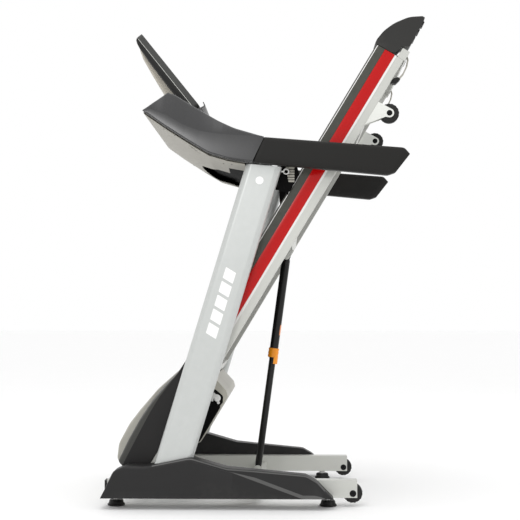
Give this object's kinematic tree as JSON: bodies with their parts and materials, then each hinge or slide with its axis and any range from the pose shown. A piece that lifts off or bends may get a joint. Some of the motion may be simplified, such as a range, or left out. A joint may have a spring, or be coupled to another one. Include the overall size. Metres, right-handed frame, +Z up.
{
  "type": "folding treadmill",
  "caption": "Home treadmill standing folded: raised running deck with belt, motor hood, leaning uprights, console with handrails, and a telescopic folding strut.",
  "frame": {"origin": "floor level, middle of the overall length and width as it stands folded", "axes": "+X to the rear where the user stands, +Y to the user's right as they face the console, +Z up"},
  "size_m": [0.9746, 0.742, 1.4858],
  "materials": {
    "silver_paint": "satin silver paint",
    "frame_black": "satin black paint",
    "dark_plastic": "fine-grained charcoal",
    "console_plastic": "satin charcoal",
    "grey_plastic": "matte warm grey",
    "grip_foam": "soft-touch",
    "red_trim": "gloss red",
    "screen": "gloss black",
    "steel": "zinc plated",
    "black_rubber": "matte",
    "belt": "fine weave texture",
    "board_wood": "laminated board",
    "tyre_rubber": "matte",
    "orange_plastic": "orange",
    "key_red": "red"
  },
  "bodies": {
    "base": {"base_rail_left": "silver_paint", "base_rail_right": "silver_paint", "front_crossbar": "silver_paint", "strut_crossbar": "silver_paint", "upright_left": "silver_paint", "upright_right": "silver_paint", "base_cover_left": "dark_plastic", "base_cover_right": "dark_plastic", "levelling_feet": "black_rubber", "base_bolts": "steel", "console_frame": "frame_black", "eye_bolts": "steel", "console_cheeks": "console_plastic", "console_upper_shell": "console_plastic", "console_lower_shell": "grey_plastic", "cup_holders": "console_plastic", "handrail_left": "grip_foam", "handrail_right": "grip_foam", "display_bezel": "console_plastic", "display_back": "grey_plastic", "display_screen": "screen", "tablet_ledge": "console_plastic", "keypad": "console_plastic"},
    "deck": {"deck_rail_left": "silver_paint", "deck_rail_right": "silver_paint", "deck_crossmembers": "silver_paint", "running_board": "board_wood", "deck_cushions": "black_rubber", "running_belt": "belt", "foot_rail_left": "dark_plastic", "foot_rail_right": "dark_plastic", "deck_trims": "red_trim", "end_cap_left": "dark_plastic", "end_cap_right": "dark_plastic", "roller_axles": "steel", "motor": "steel", "drive_belt": "black_rubber", "hood_centre": "grey_plastic", "hood_sides": "dark_plastic", "belly_pan": "dark_plastic", "deck_wheel_brackets": "silver_paint", "power_inlet": "dark_plastic"},
    "strut_rod": {"strut_lower": "frame_black"},
    "strut_sleeve": {"strut_upper": "frame_black"},
    "latch": {"latch_collar": "orange_plastic"},
    "base_wheel_left": {"base_wheel_left": "tyre_rubber"},
    "base_wheel_right": {"base_wheel_right": "tyre_rubber"},
    "deck_wheel_left": {"deck_wheel_left": "tyre_rubber"},
    "deck_wheel_right": {"deck_wheel_right": "tyre_rubber"},
    "front_roller": {"front_roller": "steel"},
    "rear_roller": {"rear_roller": "steel"},
    "motor_rotor": {"motor_rotor": "steel"},
    "start_button": {"start_button": "grey_plastic"},
    "stop_button": {"stop_button": "key_red"},
    "slower_button": {"slower_button": "grey_plastic"},
    "faster_button": {"faster_button": "grey_plastic"},
    "menu_button": {"menu_button": "grey_plastic"},
    "safety_key": {"safety_key": "key_red"},
    "power_rocker": {"power_rocker": "black_rubber"},
    "breaker_button": {"breaker_button": "black_rubber"}
  },
  "joints": [
    {"name": "deck_fold", "type": "hinge", "parent": "base", "child": "deck", "pos_m": [-0.34776, 0, 0.152], "axis": [0, 1, 0], "range_deg": [0, 60.4]},
    {"name": "strut_swing", "type": "hinge", "parent": "base", "child": "strut_rod", "pos_m": [-0.03027, 0, 0.072], "axis": [0, 1, 0], "range_deg": [0, 78.8]},
    {"name": "strut_slide", "type": "slide", "parent": "strut_rod", "child": "strut_sleeve", "axis": [0.1343, 0, 0.9909], "range_m": [-0.27997, 0]},
    {"name": "latch_slide", "type": "slide", "parent": "strut_sleeve", "child": "latch", "axis": [0.1343, 0, 0.9909], "range_m": [0, 0.012], "stiffness_N_per_m": 400},
    {"name": "base_wheel_left_spin", "type": "hinge", "parent": "base", "child": "base_wheel_left", "pos_m": [0.26223, -0.2762, 0.04], "axis": [0, 1, 0], "continuous": true},
    {"name": "deck_wheel_left_spin", "type": "hinge", "parent": "deck", "child": "deck_wheel_left", "pos_m": [0.37868, -0.2744, 1.18878], "axis": [0, 1, 0], "continuous": true},
    {"name": "base_wheel_right_spin", "type": "hinge", "parent": "base", "child": "base_wheel_right", "pos_m": [0.26223, 0.2762, 0.04], "axis": [0, 1, 0], "continuous": true},
    {"name": "deck_wheel_right_spin", "type": "hinge", "parent": "deck", "child": "deck_wheel_right", "pos_m": [0.37868, 0.2744, 1.18878], "axis": [0, 1, 0], "continuous": true},
    {"name": "front_roller_spin", "type": "hinge", "parent": "deck", "child": "front_roller", "pos_m": [-0.31713, 0, 0.23279], "axis": [0, 1, 0], "continuous": true},
    {"name": "rear_roller_spin", "type": "hinge", "parent": "deck", "child": "rear_roller", "pos_m": [0.3492, 0, 1.33737], "axis": [0, 1, 0], "continuous": true},
    {"name": "motor_spin", "type": "hinge", "parent": "deck", "child": "motor_rotor", "pos_m": [-0.2051, 0, 0.28783], "axis": [0, 1, 0], "continuous": true},
    {"name": "start_press", "type": "slide", "parent": "base", "child": "start_button", "axis": [-0.5146, 0, -0.8574], "range_m": [0, 0.0015], "stiffness_N_per_m": 600},
    {"name": "stop_press", "type": "slide", "parent": "base", "child": "stop_button", "axis": [-0.5146, 0, -0.8574], "range_m": [0, 0.0015], "stiffness_N_per_m": 600},
    {"name": "slower_press", "type": "slide", "parent": "base", "child": "slower_button", "axis": [-0.5146, 0, -0.8574], "range_m": [0, 0.0015], "stiffness_N_per_m": 600},
    {"name": "faster_press", "type": "slide", "parent": "base", "child": "faster_button", "axis": [-0.5146, 0, -0.8574], "range_m": [0, 0.0015], "stiffness_N_per_m": 600},
    {"name": "menu_press", "type": "slide", "parent": "base", "child": "menu_button", "axis": [-0.5146, 0, -0.8574], "range_m": [0, 0.0015], "stiffness_N_per_m": 600},
    {"name": "safety_key_pull", "type": "slide", "parent": "base", "child": "safety_key", "axis": [0, 0, 1], "range_m": [0, 0.03]},
    {"name": "rocker_tilt", "type": "hinge", "parent": "deck", "child": "power_rocker", "pos_m": [-0.3196, -0.131, 0.16771], "axis": [0, 1, 0], "range_deg": [-5, 5]},
    {"name": "breaker_press", "type": "slide", "parent": "deck", "child": "breaker_button", "axis": [0.5165, 0, 0.8563], "range_m": [0, 0.002], "stiffness_N_per_m": 500}
  ],
  "couplings": [
    {"joint": "strut_swing", "follows": "deck_fold", "ratio": 1.3044},
    {"joint": "strut_slide", "follows": "deck_fold", "m_per_rad": -0.26556},
    {"joint": "rear_roller_spin", "follows": "front_roller_spin", "ratio": 1},
    {"joint": "motor_spin", "follows": "front_roller_spin", "ratio": 2.5714}
  ]
}
